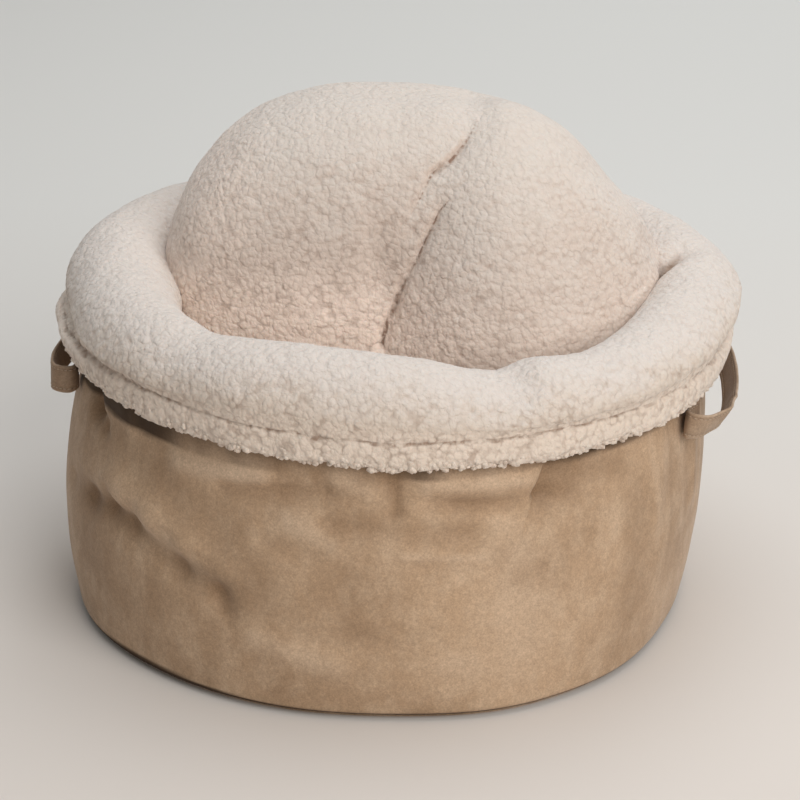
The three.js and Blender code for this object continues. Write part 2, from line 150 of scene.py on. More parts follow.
# How dark the painted shadow on the suede is just under the hem, and how far below the hem's edge that
# reaches
UNDER = table(
    "az share reach",
    [
        [0, 0.5, 9],
        [180, 0.6, 22],
        [198, 0.95, 25],
        [213, 0.95, 22.5],
        [222, 0.95, 21],
        [232, 0.9, 16],
        [245, 0.8, 10.3],
        [255, 0.7, 7.3],
        [262, 0.6, 5],
        [267, 0.6, 4.5],
        [271, 0.95, 5.7],
        [276, 0.95, 5.7],
        [281, 0.4, 4],
        [296, 0.4, 4],
        [299, 0.85, 6],
        [311, 0.8, 7],
        [320, 0.6, 8],
        [360, 0.5, 9],
    ],
)
# Where the padded rim is pinched
PINCHES = [
    # az at the rim's outer side, az at its inner side, wide, deep, angles over the rim where it deepens
    [11, -5.5, 4.2, 13, 45, 145],
    [232, 228, 5, 2.5, -90, 0],
]
# The cushion's rounded masses: middle, lean of the middle with height, half sizes, and how boxy (2 is round)
LOBES = [
    dict(x=-30, y=54, z=246, lean=0.12, rx=192, ry=136, rz=213, full=2.6),
    dict(x=111, y=17, z=210, lean=-0.07, rx=168, ry=163, rz=243.5, full=1.82),
]
SEAT = dict(x=0, y=-10, z=78, lean=0, rx=214, ry=208, rz=74, full=2.4)
# Lines down the cushion's front, as rows of x, z, wide, deep: the broad valleys between the lobes and
# the sharp creases in them
VALLEYS = [
    [[78, 455, 18, 6], [46, 410, 22, 6], [30, 365, 26, 8], [8, 317, 28, 9], [-8, 262, 28, 8]],
    [[-18, 402, 12, 0], [-14, 360, 14, 4], [-11, 318, 14, 4], [-8, 285, 14, 1]],
]
CREASES = [
    [[76, 447, 5, 0], [70, 438, 5, 2], [64, 431, 4, 5], [55, 422, 4, 6]]
    + [[45, 415, 4, 6], [36, 411, 4, 5], [30, 401, 4, 3], [19, 381, 4, 1]],
    [[51, 393, 4, 1], [43, 383, 4, 4], [37, 370, 4, 6], [30, 357, 4, 7], [24, 342, 4, 7]]
    + [[16, 330, 4, 7], [9, 315, 4, 7], [2, 296, 4, 6], [-5, 278, 5, 5], [-9, 262, 5, 4]],
]
# Shallow dents at the cushion's right: x, y, z, wide, deep
DENTS = [[250, 0, 330, 28, 9], [205, 15, 395, 42, 8]]
# A crease this deep or deeper gets its painted shade line at its full width
CREASE_DEEP = 6.0
CREASE_LEAST = 0.5
# The y where valleys and creases start to fade, and where they are gone
VALLEY_BACK = (60, 110)
LOBE_BLEND = 34.0
SEAT_BLEND = 46.0
PRESS_BLEND = 4.0
# Below zero, because the cushion's pile and the rim's press into each other
CUSHION_CLEAR = -3.0
# Middles of the rays that first find the cushion, low for the seat and high for the lobes
HEARTS = dict(low=[5, 20, 80], high=[20, 62, 270], rise=55, fill=130)

HASH_SIZE = 4096
rng = np.random.default_rng(11)
HASHED = rng.random((HASH_SIZE, 3))
HASH_STEPS = (73856093, 19349663, 83492791)


def smoothstep(value, low, high):
    t = np.clip((value - low) / (high - low), 0, 1)
    return t * t * (3 - 2 * t)


def bell(value):
    return np.exp(-(value**2))


def hashed(cell):
    """Three fixed random numbers for each whole-number cell."""
    mixed = cell[:, 0] * HASH_STEPS[0] ^ cell[:, 1] * HASH_STEPS[1] ^ cell[:, 2] * HASH_STEPS[2]
    return HASHED[mixed & (HASH_SIZE - 1)]


def noise(points, size):
    """Three smooth random fields from -1 to 1, with lumps of about the given size.

    Points moved by any large number give other fields.
    """
    place = points / size
    base = np.floor(place).astype(np.int64)
    t = place - base
    t = t * t * (3 - 2 * t)
    total = np.zeros_like(points, dtype=float)
    for corner in np.ndindex(2, 2, 2):
        weight = np.prod(np.where(np.array(corner) == 1, t, 1 - t), axis=1)
        total += weight[:, None] * hashed(base + np.array(corner))
    return 2 * total - 1


def cell_distance(points, size):
    """Distance to the nearest of scattered points, in cells."""
    place = points / size
    base = np.floor(place).astype(np.int64)
    nearest = np.full(len(points), FAR)
    for near in np.ndindex(3, 3, 3):
        cell = base + np.array(near) - 1
        nearest = np.minimum(nearest, np.linalg.norm(cell + hashed(cell) - place, axis=1))
    return nearest


CURL_SIZE = 6.8
CURL_REACH = 0.95


def curls(points):
    """Height of the curly pile's lumps, from about -1 to 1."""
    place = points + 1.6 * noise(points, 9.0) + 3.0 * noise(points + 50, 30.0)
    dome = np.sqrt(np.clip(1 - (cell_distance(place, CURL_SIZE) / CURL_REACH) ** 2, 0, 1))
    return 1.4 * (dome - 0.7) + 0.4 * noise(points + 900, 18.0)[:, 0]


def slack(points):
    """How loosely the fleece lies: long soft waves in and out."""
    return noise(points + 1500, 72.0)[:, 1] * 2.2 + noise(points + 1700, 34.0)[:, 2]


def around(column, az):
    """A column of the sections' table at an azimuth, on a smooth curve that closes on itself."""
    az = np.mod(az, 360.0)
    places, values = SECTIONS["az"], SECTIONS[column]
    count = len(places)
    k = np.searchsorted(places, az, side="right") - 1

    def row(n):
        return places[n % count] + 360 * (n // count), values[n % count]

    (a0, v0), (a1, v1), (a2, v2), (a3, v3) = row(k - 1), row(k), row(k + 1), row(k + 2)
    width = a2 - a1
    slope1 = (v2 - v0) / (a2 - a0) * width
    slope2 = (v3 - v1) / (a3 - a1) * width
    return hermite(v1, v2, slope1, slope2, (az - a1) / width)


def hermite(v0, v1, m0, m1, t):
    """A smooth step from v0 to v1 whose slopes at its ends are m0 and m1."""
    t2, t3 = t * t, t * t * t
    return (2 * t3 - 3 * t2 + 1) * v0 + (t3 - 2 * t2 + t) * m0 + (3 * t2 - 2 * t3) * v1 + (t3 - t2) * m1


def turn_to(az, start):
    """The turn from one azimuth to another, from -180 to 180."""
    return np.mod(az - start + 180, 360) - 180


def fold_sum(az, z, column):
    """The folds' depth or nap at a place, from a column of their table."""
    to_mm = math.radians(1) * WALL_RADIUS
    total = np.zeros(np.broadcast(az, z).shape)
    ways = [FOLDS[name] for name in ("az1", "z1", "az2", "z2", "left", "right", column)]
    for az1, z1, az2, z2, left, right, most in zip(*ways):
        x, y = turn_to(az, az1) * to_mm, z - z1
        dx, dy = (az2 - az1) * to_mm, z2 - z1
        share = np.clip((x * dx + y * dy) / (dx * dx + dy * dy), 0, 1)
        wide = np.where(dx * y - dy * x > 0, left, right)
        total = total + most * np.exp(-((x - share * dx) ** 2 + (y - share * dy) ** 2) / wide**2)
    return total


def wall_radius(az, z):
    """The wall's outer radius: a curve through foot, belly and neck, with its folds."""
    at_foot = (z - BELLY_Z) * (z - NECK_Z) / (BELLY_Z * NECK_Z)
    at_belly = z * (NECK_Z - z) / (BELLY_Z * (NECK_Z - BELLY_Z))
    at_neck = z * (z - BELLY_Z) / (NECK_Z * (NECK_Z - BELLY_Z))
    plain = around("foot", az) * at_foot + around("belly", az) * at_belly + around("neck", az) * at_neck
    return plain + fold_sum(az, z, "deep")


def rim(az):
    """The padded rim's section: radius and height of its middle, half its width and half its height."""
    out, inn, high = around("out", az), around("inn", az), around("deep", az) / 2
    return (out + inn) / 2, around("top", az) - high, (out - inn) / 2, high


def pinched_in(az, angle):
    """How far the rim is pinched in at an angle over it: 0 outside, 90 on top, 180 inside."""
    inset = 0
    for az_out, az_in, width, deep, low, high_angle in PINCHES:
        across = az_out + (az_in - az_out) * angle / 180
        share = smoothstep(angle, low, high_angle)
        inset = inset + deep * share * bell(turn_to(az, across) / width)
    return inset


def rim_point(az, angle):
    r, z, wide, high = rim(az)
    inset = pinched_in(az, angle)
    a = math.radians(angle)
    return r + (wide - inset) * math.cos(a), z + (high - inset) * math.sin(a)


def lining_radius(az, z):
    """The lining's radius below the rim."""
    share = np.clip(z / rim(az)[1], 0, 1)
    inn = around("inn", az) + pinched_in(az, 180)
    return LINING_FOOT + (inn - LINING_FOOT) * share * share


def fleece_face(az, hem_rows, levels):
    """The fleece's face as rows of (radius, height), from the hem over the rim to the lining's foot."""
    hem, hem_z, flare = around("hem", az), around("hem_z", az), around("flare", az)
    rows = [(hem + flare * share - inside, hem_z + up) for inside, up, share in hem_rows]
    rows[-1] = (np.minimum(rows[-1][0], around("out", az) - RIM_STEP), rows[-1][1])
    rows += [rim_point(az, angle) for angle in RIM_ANGLES]
    rows += [(lining_radius(az, z), np.full(len(az), float(z))) for z in levels]
    return np.stack([np.stack(row, axis=-1) for row in rows], axis=1)


def offset(face, depth):
    """Rows moved into the padding, each along its own normal."""
    way = np.empty_like(face)
    way[:, 1:-1] = face[:, 2:] - face[:, :-2]
    way[:, 0] = face[:, 1] - face[:, 0]
    way[:, -1] = face[:, -1] - face[:, -2]
    way /= np.linalg.norm(way, axis=2, keepdims=True)
    moved = face + depth * np.stack([-way[..., 1], way[..., 0]], axis=-1)
    moved[:, -1] = face[:, -1] + [depth, 0]
    return moved


def through(rows, spacings):
    """A smooth line through the rows, cut so that its points lie about a spacing apart."""
    chord = np.linalg.norm(np.diff(rows, axis=1), axis=2).mean(0)
    at = np.concatenate([[0], np.cumsum(chord)])
    slopes = np.empty_like(rows)
    gaps = (at[2:] - at[:-2])[None, :, None]
    slopes[:, 1:-1] = (rows[:, 2:] - rows[:, :-2]) / gaps
    slopes[:, 0] = (rows[:, 1] - rows[:, 0]) / chord[0]
    slopes[:, -1] = (rows[:, -1] - rows[:, -2]) / chord[-1]
    line = []
    for k, length in enumerate(chord):
        count = max(1, round(length / spacings[k]))
        for n in range(count):
            t = n / count
            ends = slopes[:, k] * length, slopes[:, k + 1] * length
            line.append(hermite(rows[:, k], rows[:, k + 1], *ends, t))
    line.append(rows[:, -1])
    return np.stack(line, axis=1)


def turned(az, r, z):
    """Points from azimuths, radii and heights."""
    a = np.radians(az)
    return np.stack([r * np.cos(a), r * np.sin(a), z], axis=-1)


def grid_normals(grid):
    """Outward normals of a grid that closes on itself both ways."""
    along = np.roll(grid, -1, axis=0) - np.roll(grid, 1, axis=0)
    up = np.roll(grid, -1, axis=1) - np.roll(grid, 1, axis=1)
    normal = np.cross(along, up)
    return normal / np.maximum(np.linalg.norm(normal, axis=2, keepdims=True), 1e-9)


def grid_faces(count, rows):
    """Faces of a grid that closes on itself both ways."""
    i = np.arange(count)[:, None]
    j = np.arange(rows)[None, :]
    far, up = (i + 1) % count, (j + 1) % rows
    faces = [i * rows + j, far * rows + j, far * rows + up, i * rows + up]
    return np.stack([np.broadcast_to(f, (count, rows)).ravel() for f in faces], axis=1)


def tube_faces(rings, sides, start=0):
    """Faces between rings of points that follow each other, without end faces."""
    faces = []
    for k in range(start, start + (rings - 1) * sides, sides):
        for j in range(sides):
            i = (j + 1) % sides
            faces.append((k + j, k + i, k + sides + i, k + sides + j))
    return faces


def make(name, points, faces, surface, **attributes):
    """A smooth-shaded object with float values on its points."""
    mesh = bpy.data.meshes.new(name)
    mesh.from_pydata((np.asarray(points) * MM).tolist(), [], [[int(k) for k in face] for face in faces])
    mesh.shade_smooth()
    for key, values in attributes.items():
        layer = mesh.attributes.new(key, "FLOAT", "POINT")
        layer.data.foreach_set("value", np.asarray(values, np.float32).ravel())
    mesh.materials.append(surface)
    piece = bpy.data.objects.new(name, mesh)
    bpy.context.scene.collection.objects.link(piece)
    return piece


# Materials

PER_METRE = 1000
DOME_EDGE = 0.6
# Sockets of the Mix node's colours
MIX_FIRST, MIX_SECOND, MIX_RESULT = 6, 7, 2


class Nodes:
    """Short calls for a material's nodes."""

    def __init__(self, name):
        self.material = bpy.data.materials.new(name)
        self.material.use_nodes = True
        self.tree = self.material.node_tree
        self.shader = self.tree.nodes["Principled BSDF"]
        self.place = self.add("ShaderNodeTexCoord").outputs["Object"]

    def add(self, kind, **values):
        node = self.tree.nodes.new(kind)
        for key, value in values.items():
            setattr(node, key, value)
        return node

    def link(self, source, target):
        self.tree.links.new(source, target)

    def set(self, **values):
        for key, value in values.items():
            self.shader.inputs[key.replace("_", " ")].default_value = value

    def spots(self, size, detail=2.0, rough=0.5, stretch=None):
        """Noise with lumps of a size in millimetres; stretch is a scale and a turn, three numbers each."""
        node = self.add("ShaderNodeTexNoise")
        node.inputs["Scale"].default_value = PER_METRE / size
        node.inputs["Detail"].default_value = detail
        node.inputs["Roughness"].default_value = rough
        place = self.place
        if stretch:
            mapping = self.add("ShaderNodeMapping")
            mapping.inputs["Scale"].default_value = stretch[:3]
            mapping.inputs["Rotation"].default_value = [math.radians(a) for a in stretch[3:]]
            self.link(place, mapping.inputs["Vector"])
            place = mapping.outputs["Vector"]
        self.link(place, node.inputs["Vector"])
        return node.outputs["Fac"]

    def bent(self, size, amount, place=None):
        """A place moved about by noise of a size, by up to an amount, both in millimetres."""
        place = place or self.place
        noise_node = self.add("ShaderNodeTexNoise")
        noise_node.inputs["Scale"].default_value = PER_METRE / size
        self.link(place, noise_node.inputs["Vector"])
        node = self.add("ShaderNodeVectorMath", operation="MULTIPLY_ADD")
        self.link(noise_node.outputs["Color"], node.inputs[0])
        node.inputs[1].default_value = [2 * amount * MM] * 3
        self.link(place, node.inputs[2])
        return node.outputs["Vector"]

    def cells(self, size, place):
        """Distance to the nearest of scattered points, in cells of a size in millimetres."""
        node = self.add("ShaderNodeTexVoronoi", feature="F1")
        node.inputs["Scale"].default_value = PER_METRE / size
        self.link(place, node.inputs["Vector"])
        return node.outputs["Distance"]

    def dome(self, distance):
        """A rounded lump round each point of the cells."""
        return self.span(self.times(distance, distance), 0, DOME_EDGE, 1, 0)

    def times(self, first, second):
        node = self.add("ShaderNodeMath", operation="MULTIPLY")
        self.link(first, node.inputs[0])
        self.link(second, node.inputs[1])
        return node.outputs[0]

    def attribute(self, key):
        """A float value kept on the mesh's points."""
        return self.add("ShaderNodeAttribute", attribute_name=key).outputs["Fac"]

    def span(self, value, low, high, to_low=0.0, to_high=1.0, soft=False):
        """A value turned from one range into another and held within it."""
        node = self.add("ShaderNodeMapRange", interpolation_type="SMOOTHSTEP" if soft else "LINEAR")
        self.link(value, node.inputs["Value"])
        for key, number in zip(["From Min", "From Max", "To Min", "To Max"], [low, high, to_low, to_high]):
            node.inputs[key].default_value = number
        return node.outputs["Result"]

    def mix(self, share, first, second, blend="MIX"):
        node = self.add("ShaderNodeMix", data_type="RGBA", blend_type=blend)
        if isinstance(share, float):
            node.inputs[0].default_value = share
        else:
            self.link(share, node.inputs[0])
        for value, socket in ((first, node.inputs[MIX_FIRST]), (second, node.inputs[MIX_SECOND])):
            if isinstance(value, tuple):
                socket.default_value = (*value, 1)
            else:
                self.link(value, socket)
        return node.outputs[MIX_RESULT]

    def add_up(self, first, second, times=1.0):
        """The first value plus a number of times the second."""
        node = self.add("ShaderNodeMath", operation="MULTIPLY_ADD")
        self.link(second, node.inputs[0])
        node.inputs[1].default_value = times
        self.link(first, node.inputs[2])
        return node.outputs[0]

    def bump(self, height, deep, strength=1.0):
        node = self.add("ShaderNodeBump")
        node.inputs["Strength"].default_value = strength
        node.inputs["Distance"].default_value = deep * MM
        self.link(height, node.inputs["Height"])
        self.link(node.outputs["Normal"], self.shader.inputs["Normal"])


def fleece_material(name, top, face, deep, warm, pits):
    """Curly pile: rounded lumps with painted shade in the pits between them, and painted light, a paler
    tone, where it faces up.
    """
    m = Nodes(name)
    place = m.bent(3.5, 0.8, m.bent(12, 2.6))
    lump, curl = m.cells(5.9, place), m.cells(3.1, place)
    patches = m.span(m.spots(15, 2.0), 0.4, 0.62, 0.25, 1)
    fine_patches = m.span(m.spots(22, 2.0), 0.42, 0.62, 0.1, 1)
    # Painted shade in the pits between the lumps, in patches
    pit = m.times(m.span(lump, 0.4, 0.78, 0, 1, True), patches)
    fine_pit = m.times(m.span(curl, 0.45, 0.8, 0, 1, True), fine_patches)
    pit = m.add_up(pit, fine_pit, 0.4)
    # Painted light: how much the pile faces up, which makes it paler and weakens its painted pit shade
    normal = m.add("ShaderNodeSeparateXYZ")
    m.link(m.add("ShaderNodeNewGeometry").outputs["Normal"], normal.inputs[0])
    facing = m.add_up(normal.outputs["Z"], m.spots(70, 2.0, 0.5), 0.5)
    up = m.span(facing, 0.35, 1.15, 0, 1, True)
    shade = m.times(pit, m.span(up, 0, 1, pits, 0.25 * pits))
    # Painted shadow along the topstitching's ledge and in the cushion's creases, then painted shade in
    # crevices
    seam_line = m.span(m.attribute("seam"), 0.4, 2.4, 0.8, 0, True)
    seam = m.times(seam_line, m.span(m.spots(9, 2.0), 0.36, 0.6, 0.1, 1))
    shade = m.add_up(m.add_up(shade, seam), m.attribute("crevice"))
    # Painted light and shade: the top colour where it faces up, the face colour on its sides, and painted
    # bounce light where that attribute is
    tone = m.mix(m.attribute("glow"), m.mix(up, face, top), warm)
    m.link(m.mix(shade, tone, deep), m.shader.inputs["Base Color"])
    m.set(Roughness=0.95, Specular_IOR_Level=0.1, Sheen_Weight=0.25, Sheen_Roughness=0.6)
    m.set(Subsurface_Weight=0.15, Subsurface_Scale=0.004, Subsurface_Radius=(1.0, 0.7, 0.55))
    height = m.add_up(m.dome(lump), m.dome(curl), 0.45)
    height = m.add_up(height, m.spots(1.7, 2.0, 0.6), 0.25)
    m.bump(height, 1.0, 0.8)
    return m.material


# The suede's painted shadow tone, where the hem hides it from the light and at the wall's foot
HIDDEN_TONE = (0.045, 0.024, 0.012)


def suede_material(name, dark, middle, light, worn):
    """Brushed suede: soft mottling and a short nap, paler on worn ridges and with painted light, darker with
    painted shade in troughs, and with a painted shadow under the hem and at the foot.
    """
    m = Nodes(name)
    tone = m.mix(m.span(m.spots(110, 3.0, 0.5), 0.36, 0.6, 0.55, 1), dark, middle)
    mottle = m.spots(24, 5.0, 0.62, (1, 1, 0.7, 0, -14, 8))
    tone = m.mix(m.span(mottle, 0.42, 0.68, 0, 0.52), tone, light)
    # Paler for wear and painted light on ridges, darker for painted shade in troughs
    tone = m.mix(m.span(m.attribute("fold"), 0, 1, 0, 1), tone, worn)
    tone = m.mix(m.span(m.attribute("fold"), 0, -0.85, 0, 1), tone, dark)
    fine_nap = m.span(m.spots(1.6, 3.0, 0.7), 0.3, 0.7, 0.83, 1.17)
    nap = m.times(fine_nap, m.span(m.spots(4.2, 4.0, 0.7), 0.3, 0.7, 0.88, 1.12))
    # Painted shadow under the hem and at the wall's foot, with less sheen there
    under = m.attribute("under")
    grain = m.mix(1.0, tone, nap, "MULTIPLY")
    m.link(m.mix(under, grain, HIDDEN_TONE), m.shader.inputs["Base Color"])
    m.link(m.span(under, 0, 1, 0.15, 0), m.shader.inputs["Sheen Weight"])
    m.link(m.span(mottle, 0.4, 0.7, 0.78, 0.66), m.shader.inputs["Roughness"])
    m.set(Specular_IOR_Level=0.2, Sheen_Roughness=0.45)
    m.bump(m.add_up(m.spots(1.3, 3.0, 0.65), m.spots(7.0, 3.0, 0.6), 0.9), 0.35, 0.6)
    return m.material


# The worn colour stands for wear and painted light on ridges; the dark colour is also the painted shade in
# troughs
suede = suede_material(
    "suede",
    dark=(0.24, 0.147, 0.082), middle=(0.475, 0.328, 0.212),
    light=(0.585, 0.435, 0.305), worn=(0.65, 0.50, 0.37),
)
strap_suede = suede_material(
    "strap_suede",
    dark=(0.26, 0.17, 0.11), middle=(0.37, 0.26, 0.175),
    light=(0.48, 0.36, 0.26), worn=(0.52, 0.40, 0.3),
)
thread = suede_material(
    "thread",
    dark=(0.36, 0.26, 0.18), middle=(0.5, 0.385, 0.28),
    light=(0.6, 0.48, 0.36), worn=(0.62, 0.5, 0.38),
)
# Top and face are painted lit and shaded tones of one pile, deep is the painted shade in its pits, and the
# warm colour is painted bounce light
fleece = fleece_material(
    "fleece",
    top=(0.67, 0.61, 0.565), face=(0.67, 0.58, 0.50),
    deep=(0.34, 0.24, 0.18), warm=(0.80, 0.685, 0.585), pits=0.5,
)
# The cushion's copy, with stronger painted bounce light and weaker painted pit shade
cushion_fleece = fleece_material(
    "cushion_fleece",
    top=(0.65, 0.585, 0.53), face=(0.65, 0.545, 0.475),
    deep=(0.30, 0.20, 0.15), warm=(0.93, 0.785, 0.69), pits=0.36,
)


# The stuffed wall with its suede outside

WALL_AROUND = 600
WALL_STEP = 3.1
CORNER_ANGLES = (-90, -72, -54, -38, -24, -10)
# The painted shadow under the hem starts this far below the hem's height, with a ragged and soft lower edge
UNDER_START = 7.0
UNDER_RAGGED = 1.5
UNDER_SOFT = 2.5
# The painted contact shadow at the wall's foot is higher at the front left
FOOT_DARK = 7.0
FOOT_MORE = 5.0
FOOT_AZ = 222
FOOT_WIDE = 22


def build_wall():
    az = np.arange(WALL_AROUND) * 360 / WALL_AROUND
    rows = []
    for angle in CORNER_ANGLES:
        a = math.radians(angle)
        z = WALL_START + CORNER + CORNER * math.sin(a)
        rows.append((wall_radius(az, z) - CORNER + CORNER * math.cos(a), np.full(len(az), z)))
    for z in np.arange(WALL_START + CORNER + 1, NECK_Z, WALL_STEP):
        rows.append((wall_radius(az, z), np.full(len(az), z)))
    outside = len(rows)
    inner = offset(fleece_face(az, PADDING_HEM, PADDING_LEVELS), FLEECE + WALL_CLEAR)
    section = np.concatenate([np.stack([np.stack(r, axis=-1) for r in rows], axis=1), inner], axis=1)
    grid = turned(az[:, None], section[..., 0], section[..., 1])
    flat = grid.reshape(-1, 3)

    # Soft unevenness, none at the foot and on the hidden side
    soft = 0.9 * noise(flat, 70.0)[:, 0] + 0.45 * noise(flat + 70, 26.0)[:, 0]
    weight = np.zeros(section.shape[1])
    weight[3:outside] = smoothstep(np.arange(outside - 3), 0, 8)
    weight = np.broadcast_to(weight, section.shape[:2]).reshape(-1)
    points = flat + grid_normals(grid).reshape(-1, 3) * (soft * weight)[:, None]

    # Painted light and shade on the nap along the folds, with the nap's own marks and wear, a little paler
    # where the wall bulges out; then the painted shadow under the hem and at the foot
    z = section[..., 1]
    fold = fold_sum(az[:, None], z, "nap") + 0.05 * soft.reshape(z.shape)
    below = np.maximum(around("hem_z", az)[:, None] - UNDER_START - z, 0)
    reach = np.interp(az, UNDER["az"], UNDER["reach"])[:, None]
    reach = reach + UNDER_RAGGED * (noise(flat + 300, 25.0)[:, 0].reshape(z.shape) - 0.1)
    share = np.interp(az, UNDER["az"], UNDER["share"])[:, None]
    under = share * (1 - smoothstep(below, reach - UNDER_SOFT, reach + UNDER_SOFT))
    foot = FOOT_DARK + FOOT_MORE * bell(turn_to(az, FOOT_AZ) / FOOT_WIDE)[:, None]
    under = np.maximum(under, 1 - smoothstep(z, foot - 1.5, foot + 1))
    faces = grid_faces(len(az), section.shape[1])
    return make("wall_suede", points, faces, suede, fold=fold, under=under)


# The fleece sheet: lining, padded rim and turned-down cuff

# The hem's section: inside the hem radius, above the edge, share of the flare
HEM_ROWS = [
    [11.5, 14, 0.6],
    [11.6, 7, 0.4],
    [9.5, 1.5, 0.2],
    [6.2, -0.4, 0.1],
    [3, 1.2, 0.1],
    [1, 5, 0.35],
    [0, 11, 0.8],
    [0.3, 18, 1],
    [0.6, 22.5, 0.5],
    [1.8, 25, 0.15],
    [0.6, 27.5, 0],
    [0.3, 31, 0],
]
SEAM_UP = 25.0
CUFF_AROUND = 796
CUFF_STEP = 2.45
# Longer steps where the sheet is out of sight: under the hem, and down the lining
HEM_BACK_STEP = 8
LINING_STEPS = [8, 40, 40, 50, 60]
PILE = 1.4
HEM_PILE = 1.8
# The topstitching is sunk deeper and wider around this azimuth, at the left
SUNK_AZ = 207
SUNK_WIDE = 22


def build_cuff():
    az = np.arange(CUFF_AROUND) * 360 / CUFF_AROUND
    face = fleece_face(az, HEM_ROWS, LINING_LEVELS)
    steps = [CUFF_STEP] * (len(HEM_ROWS) + len(RIM_ANGLES) + 1) + LINING_STEPS
    steps[0] = HEM_BACK_STEP
    line = through(face, steps)
    back = offset(fleece_face(az, PADDING_HEM, PADDING_LEVELS), FLEECE)
    section = np.concatenate([line, back[:, ::-1]], axis=1)
    grid = turned(az[:, None], section[..., 0], section[..., 1])
    shape = section.shape[:2]
    flat = grid.reshape(-1, 3)
    rows = line.shape[1]
    r, z = section[..., 0], section[..., 1]
    mid_r, mid_z = (value[:, None] for value in rim(az)[:2])
    up = z - around("hem_z", az)[:, None]
    outside = (np.arange(shape[1]) < rows / 2)[None, :] & (r > mid_r) & (z < mid_z + 8)
    hem = np.where(outside, 1 - smoothstep(up, 3, 12), 0)

    # The line of topstitching, a little crooked, sunk in a groove, with a painted shadow along it
    wobble = (2.2 * noise(flat + 200, 17.0)[:, 0] + 1.3 * noise(flat + 230, 6.0)[:, 0]).reshape(shape)
    seam = np.where(outside, np.abs(up - SEAM_UP + wobble), FAR)
    left = bell(turn_to(az, SUNK_AZ) / SUNK_WIDE)[:, None]
    sunk = (0.9 + 2.2 * left) * bell(seam / (1.6 + 1.6 * left))
    seam = seam / (1 + 0.8 * left)

    # The pile's lumps on the side that shows, with locks at the hem
    face_side = (np.arange(shape[1]) < rows)[None, :] * smoothstep(z, 205, 225)
    lumps = curls(flat).reshape(shape) * (PILE + (HEM_PILE - PILE) * hem)
    locks = np.maximum(noise(flat + 500, 7.0)[:, 0].reshape(shape), -0.2)
    out = (lumps + 2.2 * hem * locks + slack(flat).reshape(shape) - sunk) * face_side
    points = flat + grid_normals(grid).reshape(-1, 3) * out.reshape(-1, 1)

    # Painted bounce light near the hem
    glow = 0.7 * np.where(outside, 1 - smoothstep(up, 22, 60), 0)
    # Painted shade where the rim is pinched
    angle = np.degrees(np.arctan2(z - mid_z, r - mid_r))
    pinched = pinched_in(az[:, None], np.where(angle < -90, 180, angle))
    crevice = 0.9 * smoothstep(pinched, 6, 12) * (r < mid_r + 15)
    faces = grid_faces(len(az), shape[1])
    return make("cuff_fleece", points, faces, fleece, seam=seam, crevice=crevice, glow=glow)


# Tufts of the pile along the hem's cut edge: how far above the edge, how far inside the hem radius
TUFT_ROWS = [[0.2, 5.2], [2.6, 3.4], [7, 2.6]]
TUFT_APART = 5.2
TUFT_SIZE = (2.2, 3.9)
# Painted bounce light on the tufts, as on the cuff near the hem
TUFT_GLOW = 0.7


def build_tufts():
    bm = bmesh.new()
    bmesh.ops.create_icosphere(bm, subdivisions=1, radius=1)
    ball = np.array([v.co[:] for v in bm.verts])
    ball_faces = np.array([[v.index for v in f.verts] for f in bm.faces])
    bm.free()
    places = []
    for up, inside in TUFT_ROWS:
        count = int(2 * math.pi * WALL_RADIUS / TUFT_APART)
        az = (np.arange(count) + rng.uniform(-0.45, 0.45, count)) * 360 / count
        share = np.interp(up, [0, 6, 17], [0, 0.4, 1])
        r = around("hem", az) + around("flare", az) * share - inside
        z = around("hem_z", az) + up + rng.uniform(-1.6, 1.6, count)
        places.append(turned(az, r, z))
    places = np.concatenate(places)
    outward = places * [1, 1, 0] / np.linalg.norm(places[:, :2], axis=1)[:, None]
    places = places + outward * slack(places)[:, None]
    size = rng.uniform(*TUFT_SIZE, len(places))
    shape = rng.uniform(0.8, 1.25, (len(places), 3)) * size[:, None]
    points = (places[:, None] + ball[None] * shape[:, None]).reshape(-1, 3)
    points = points + 0.8 * noise(points, 3.5)
    faces = (ball_faces[None] + np.arange(len(places))[:, None, None] * len(ball)).reshape(-1, 3)
    seam = np.full(len(points), FAR)
    crevice = np.zeros(len(points))
    glow = np.full(len(points), TUFT_GLOW)
    return make("hem_tufts", points, faces, fleece, seam=seam, crevice=crevice, glow=glow)


# The cushion


def mass_distance(shape, p):
    """About the distance to the face of a rounded mass, below zero inside it."""
    middle = shape["x"] + shape["lean"] * (p[:, 2] - shape["z"])
    radii = np.array([shape["rx"], shape["ry"], shape["rz"]], float)
    place = np.abs(np.stack([p[:, 0] - middle, p[:, 1] - shape["y"], p[:, 2] - shape["z"]], axis=1)) / radii
    full = shape["full"]
    reach = np.maximum((place**full).sum(1) ** (1 / full), 1e-6)
    slopes = (place / reach[:, None]) ** (full - 1) / radii
    return (reach - 1) / np.linalg.norm(slopes, axis=1)


def soft_min(a, b, blend):
    """The smaller of two values, rounded where they are closer than the blend."""
    share = np.clip(0.5 + (b - a) / (2 * blend), 0, 1)
    return b + (a - b) * share - blend * share * (1 - share)


def lining_distance(p):
    """About the distance from a place inside the bed to its lining or rim."""
    az = np.degrees(np.arctan2(p[:, 1], p[:, 0]))
    r, z = np.hypot(p[:, 0], p[:, 1]), p[:, 2]
    mid_r, mid_z, wide, high = rim(az)
    share = np.hypot((r - mid_r) / wide, (z - mid_z) / high)
    return np.where(z < mid_z, lining_radius(az, z) - r, (share - 1) * np.minimum(wide, high))


